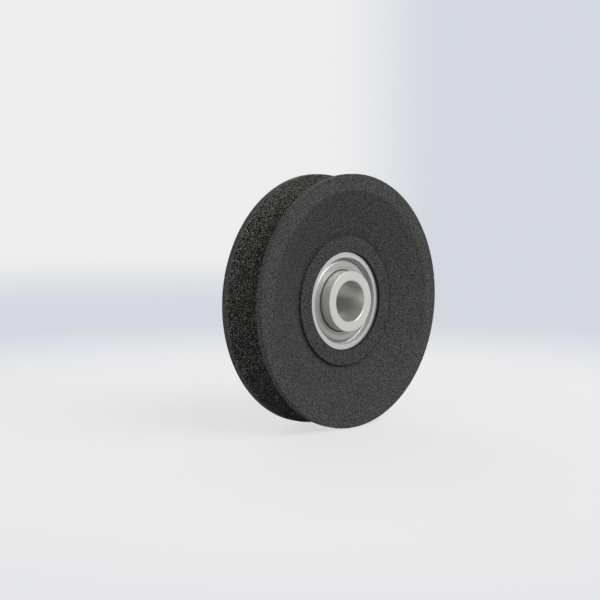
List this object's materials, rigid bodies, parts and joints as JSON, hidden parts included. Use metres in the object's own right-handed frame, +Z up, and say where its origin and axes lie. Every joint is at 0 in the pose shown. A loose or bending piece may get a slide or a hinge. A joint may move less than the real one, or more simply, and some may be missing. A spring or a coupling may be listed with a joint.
{
  "type": "v groove wheel",
  "caption": "Cast track wheel with a V groove round its rim, turning on a shielded ball bearing whose long inner ring seats on an axle.",
  "frame": {"origin": "centre of the wheel, on the bearing's axis and midway between the two rim faces", "axes": "+Y along the wheel's spin axis, with the pictured face towards -Y; +Z up; +X to the right seen from the front"},
  "size_m": [0.09, 0.0196, 0.09],
  "materials": {
    "cast_wheel": "dark, matt, fine-grained as-cast skin",
    "ring_steel": "ground, satin",
    "sleeve_steel": "ground, satin, a little warmer and lighter",
    "shield_steel": "pressed sheet, soft sheen",
    "ball_steel": "polished",
    "cage_steel": "pressed sheet"
  },
  "bodies": {
    "axle_ring": {"inner_ring": "sleeve_steel"},
    "wheel": {"wheel_body": "cast_wheel", "outer_ring": "ring_steel", "shield_front": "shield_steel", "shield_back": "shield_steel"},
    "cage": {"cage_front": "cage_steel", "cage_back": "cage_steel", "cage_rivets": "cage_steel"},
    "ball_1": {"ball_1": "ball_steel"},
    "ball_2": {"ball_2": "ball_steel"},
    "ball_3": {"ball_3": "ball_steel"},
    "ball_4": {"ball_4": "ball_steel"},
    "ball_5": {"ball_5": "ball_steel"},
    "ball_6": {"ball_6": "ball_steel"},
    "ball_7": {"ball_7": "ball_steel"},
    "ball_8": {"ball_8": "ball_steel"}
  },
  "joints": [
    {"name": "wheel_spin", "type": "hinge", "parent": "axle_ring", "child": "wheel", "pos_m": [0, 0, 0], "axis": [0, 1, 0], "continuous": true},
    {"name": "cage_spin", "type": "hinge", "parent": "axle_ring", "child": "cage", "pos_m": [0, 0, 0], "axis": [0, 1, 0], "continuous": true},
    {"name": "ball_1_spin", "type": "hinge", "parent": "cage", "child": "ball_1", "pos_m": [0.01238, 0, 0], "axis": [0, 1, 0], "continuous": true},
    {"name": "ball_2_spin", "type": "hinge", "parent": "cage", "child": "ball_2", "pos_m": [0.00875, 0, 0.00875], "axis": [0, 1, 0], "continuous": true},
    {"name": "ball_3_spin", "type": "hinge", "parent": "cage", "child": "ball_3", "pos_m": [0, 0, 0.01238], "axis": [0, 1, 0], "continuous": true},
    {"name": "ball_4_spin", "type": "hinge", "parent": "cage", "child": "ball_4", "pos_m": [-0.00875, 0, 0.00875], "axis": [0, 1, 0], "continuous": true},
    {"name": "ball_5_spin", "type": "hinge", "parent": "cage", "child": "ball_5", "pos_m": [-0.01238, 0, 0], "axis": [0, 1, 0], "continuous": true},
    {"name": "ball_6_spin", "type": "hinge", "parent": "cage", "child": "ball_6", "pos_m": [-0.00875, 0, -0.00875], "axis": [0, 1, 0], "continuous": true},
    {"name": "ball_7_spin", "type": "hinge", "parent": "cage", "child": "ball_7", "pos_m": [0, 0, -0.01238], "axis": [0, 1, 0], "continuous": true},
    {"name": "ball_8_spin", "type": "hinge", "parent": "cage", "child": "ball_8", "pos_m": [0.00875, 0, -0.00875], "axis": [0, 1, 0], "continuous": true}
  ],
  "couplings": [
    {"joint": "cage_spin", "follows": "wheel_spin", "ratio": 0.61111},
    {"joint": "ball_1_spin", "follows": "wheel_spin", "ratio": 2.1389},
    {"joint": "ball_2_spin", "follows": "wheel_spin", "ratio": 2.1389},
    {"joint": "ball_3_spin", "follows": "wheel_spin", "ratio": 2.1389},
    {"joint": "ball_4_spin", "follows": "wheel_spin", "ratio": 2.1389},
    {"joint": "ball_5_spin", "follows": "wheel_spin", "ratio": 2.1389},
    {"joint": "ball_6_spin", "follows": "wheel_spin", "ratio": 2.1389},
    {"joint": "ball_7_spin", "follows": "wheel_spin", "ratio": 2.1389},
    {"joint": "ball_8_spin", "follows": "wheel_spin", "ratio": 2.1389}
  ]
}
